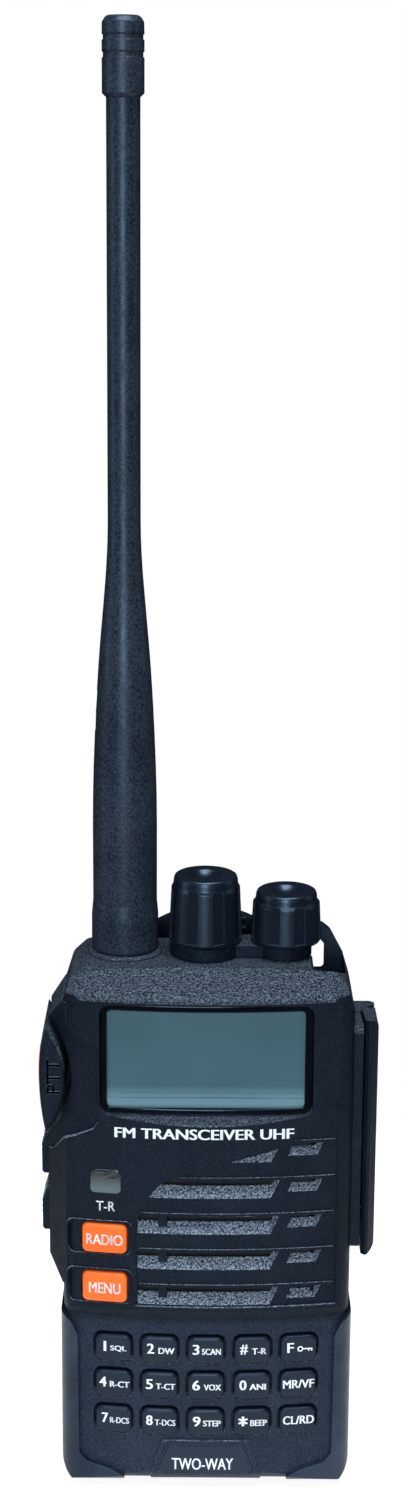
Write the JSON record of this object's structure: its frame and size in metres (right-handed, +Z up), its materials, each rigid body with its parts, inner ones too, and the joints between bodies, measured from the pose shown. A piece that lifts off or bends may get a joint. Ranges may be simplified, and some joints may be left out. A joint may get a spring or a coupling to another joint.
{
  "type": "handheld two-way radio",
  "caption": "Handheld keypad FM transceiver with display, speaker louvres, push-to-talk lever, rotary knobs, screw-on whip antenna, belt clip, jack cover and slide-off battery",
  "frame": {"origin": "middle of the base, on the surface it stands on", "axes": "+Z up along the antenna, -Y towards the user (display and keypad), +X to the right of a person facing the front"},
  "size_m": [0.0651, 0.0393, 0.2792],
  "materials": {
    "housing": "fine spark-eroded texture, satin black",
    "textured_trim": "coarse pebbled texture, black",
    "window": "clear hard-coated window with a black printed border",
    "lcd": "grey-green liquid crystal glass, unlit",
    "status_lens": "clear light guide",
    "badge": "smooth blank name plate",
    "knob": "semi-gloss black with grip flutes",
    "speaker_frame": "plated steel",
    "cloth": "woven dust cloth",
    "rubber_black": "moulded rubber",
    "keycap": "satin black key caps with white legends",
    "orange_key": "satin orange",
    "board": "green solder mask",
    "jack": "black moulding",
    "whip_rubber": "smooth moulded rubber, slight sheen",
    "brass": "turned and gold-flashed",
    "cast_metal": "die-cast alloy, black powder paint",
    "screw_steel": "zinc-plated steel",
    "clip": "glass-filled nylon, satin",
    "cells": "foil-wrapped cells"
  },
  "bodies": {
    "body": {"antenna_socket": "speaker_frame", "badge_plate": "badge", "brow_plate": "textured_trim", "channel_encoder": "board", "clip_bracket": "housing", "clip_pin": "screw_steel", "clip_screws": "screw_steel", "clip_spring": "speaker_frame", "display_window": "window", "dome_sheet": "rubber_black", "front_housing": "housing", "housing_screws": "screw_steel", "housing_seal": "rubber_black", "jack_block": "jack", "jack_cover_pin": "screw_steel", "knob_collar": "housing", "lcd_panel": "lcd", "main_board": "board", "microphone": "rubber_black", "rear_chassis": "cast_metal", "side_rails": "textured_trim", "speaker": "speaker_frame", "speaker_cloth": "cloth", "status_window": "status_lens", "volume_pot": "board"},
    "antenna": {"antenna_whip": "whip_rubber", "antenna_cap": "whip_rubber", "antenna_insert": "brass"},
    "channel_knob": {"channel_knob": "knob", "channel_shaft": "speaker_frame"},
    "volume_knob": {"volume_knob": "knob", "volume_shaft": "speaker_frame"},
    "ptt": {"ptt_lever": "housing", "ptt_strip": "orange_key"},
    "side_key_upper": {"side_key_upper": "housing"},
    "side_key_lower": {"side_key_lower": "housing"},
    "key_radio": {"key_radio": "orange_key"},
    "key_menu": {"key_menu": "orange_key"},
    "jack_cover": {"jack_cover": "housing"},
    "belt_clip": {"belt_clip": "clip"},
    "battery": {"battery_case": "housing", "battery_lid": "housing", "battery_cells": "cells", "battery_contacts": "brass"},
    "battery_latch": {"battery_latch": "housing"},
    "key_1": {"key_1": "keycap"},
    "key_2": {"key_2": "keycap"},
    "key_3": {"key_3": "keycap"},
    "key_hash": {"key_hash": "keycap"},
    "key_function": {"key_function": "keycap"},
    "key_4": {"key_4": "keycap"},
    "key_5": {"key_5": "keycap"},
    "key_6": {"key_6": "keycap"},
    "key_0": {"key_0": "keycap"},
    "key_memory": {"key_memory": "keycap"},
    "key_7": {"key_7": "keycap"},
    "key_8": {"key_8": "keycap"},
    "key_9": {"key_9": "keycap"},
    "key_star": {"key_star": "keycap"},
    "key_clear": {"key_clear": "keycap"}
  },
  "joints": [
    {"name": "antenna_screw", "type": "hinge", "parent": "body", "child": "antenna", "pos_m": [-0.01615, 0.002, 0.1069], "axis": [0, 0, 1], "range_deg": [0, 1800]},
    {"name": "channel_turn", "type": "hinge", "parent": "body", "child": "channel_knob", "pos_m": [-0.0006, 0.001, 0.1088], "axis": [0, 0, 1], "continuous": true},
    {"name": "volume_turn", "type": "hinge", "parent": "body", "child": "volume_knob", "pos_m": [0.01495, 0.001, 0.1088], "axis": [0, 0, -1], "range_deg": [0, 290]},
    {"name": "ptt_press", "type": "slide", "parent": "body", "child": "ptt", "axis": [1, 0, 0], "range_m": [0, 0.0008], "stiffness_N_per_m": 900, "springref_m": -0.0008},
    {"name": "side_key_upper_press", "type": "slide", "parent": "body", "child": "side_key_upper", "axis": [1, 0, 0], "range_m": [0, 0.0005], "stiffness_N_per_m": 500, "springref_m": -0.0006},
    {"name": "side_key_lower_press", "type": "slide", "parent": "body", "child": "side_key_lower", "axis": [1, 0, 0], "range_m": [0, 0.0005], "stiffness_N_per_m": 500, "springref_m": -0.0006},
    {"name": "key_radio_press", "type": "slide", "parent": "body", "child": "key_radio", "axis": [0, 1, 0], "range_m": [0, 0.0005], "stiffness_N_per_m": 500, "springref_m": -0.0006},
    {"name": "key_menu_press", "type": "slide", "parent": "body", "child": "key_menu", "axis": [0, 1, 0], "range_m": [0, 0.0005], "stiffness_N_per_m": 500, "springref_m": -0.0006},
    {"name": "key_1_press", "type": "slide", "parent": "body", "child": "key_1", "axis": [0, 1, 0], "range_m": [0, 0.0005], "stiffness_N_per_m": 500, "springref_m": -0.0006},
    {"name": "key_2_press", "type": "slide", "parent": "body", "child": "key_2", "axis": [0, 1, 0], "range_m": [0, 0.0005], "stiffness_N_per_m": 500, "springref_m": -0.0006},
    {"name": "key_3_press", "type": "slide", "parent": "body", "child": "key_3", "axis": [0, 1, 0], "range_m": [0, 0.0005], "stiffness_N_per_m": 500, "springref_m": -0.0006},
    {"name": "key_hash_press", "type": "slide", "parent": "body", "child": "key_hash", "axis": [0, 1, 0], "range_m": [0, 0.0005], "stiffness_N_per_m": 500, "springref_m": -0.0006},
    {"name": "key_function_press", "type": "slide", "parent": "body", "child": "key_function", "axis": [0, 1, 0], "range_m": [0, 0.0005], "stiffness_N_per_m": 500, "springref_m": -0.0006},
    {"name": "key_4_press", "type": "slide", "parent": "body", "child": "key_4", "axis": [0, 1, 0], "range_m": [0, 0.0005], "stiffness_N_per_m": 500, "springref_m": -0.0006},
    {"name": "key_5_press", "type": "slide", "parent": "body", "child": "key_5", "axis": [0, 1, 0], "range_m": [0, 0.0005], "stiffness_N_per_m": 500, "springref_m": -0.0006},
    {"name": "key_6_press", "type": "slide", "parent": "body", "child": "key_6", "axis": [0, 1, 0], "range_m": [0, 0.0005], "stiffness_N_per_m": 500, "springref_m": -0.0006},
    {"name": "key_0_press", "type": "slide", "parent": "body", "child": "key_0", "axis": [0, 1, 0], "range_m": [0, 0.0005], "stiffness_N_per_m": 500, "springref_m": -0.0006},
    {"name": "key_memory_press", "type": "slide", "parent": "body", "child": "key_memory", "axis": [0, 1, 0], "range_m": [0, 0.0005], "stiffness_N_per_m": 500, "springref_m": -0.0006},
    {"name": "key_7_press", "type": "slide", "parent": "body", "child": "key_7", "axis": [0, 1, 0], "range_m": [0, 0.0005], "stiffness_N_per_m": 500, "springref_m": -0.0006},
    {"name": "key_8_press", "type": "slide", "parent": "body", "child": "key_8", "axis": [0, 1, 0], "range_m": [0, 0.0005], "stiffness_N_per_m": 500, "springref_m": -0.0006},
    {"name": "key_9_press", "type": "slide", "parent": "body", "child": "key_9", "axis": [0, 1, 0], "range_m": [0, 0.0005], "stiffness_N_per_m": 500, "springref_m": -0.0006},
    {"name": "key_star_press", "type": "slide", "parent": "body", "child": "key_star", "axis": [0, 1, 0], "range_m": [0, 0.0005], "stiffness_N_per_m": 500, "springref_m": -0.0006},
    {"name": "key_clear_press", "type": "slide", "parent": "body", "child": "key_clear", "axis": [0, 1, 0], "range_m": [0, 0.0005], "stiffness_N_per_m": 500, "springref_m": -0.0006},
    {"name": "jack_cover_hinge", "type": "hinge", "parent": "body", "child": "jack_cover", "pos_m": [0.03135, 0.0052, 0.0717], "axis": [0, 0, 1], "range_deg": [0, 110]},
    {"name": "clip_open", "type": "hinge", "parent": "body", "child": "belt_clip", "pos_m": [0, 0.016, 0.097], "axis": [1, 0, 0], "range_deg": [0, 8], "stiffness_Nm_per_rad": 0.9, "springref_deg": -11.46},
    {"name": "battery_slide", "type": "slide", "parent": "body", "child": "battery", "axis": [0, 0, -1], "range_m": [0, 0.008]},
    {"name": "battery_latch_lift", "type": "slide", "parent": "body", "child": "battery_latch", "axis": [0, 0, 1], "range_m": [0, 0.0014], "stiffness_N_per_m": 600, "springref_m": -0.0012}
  ]
}
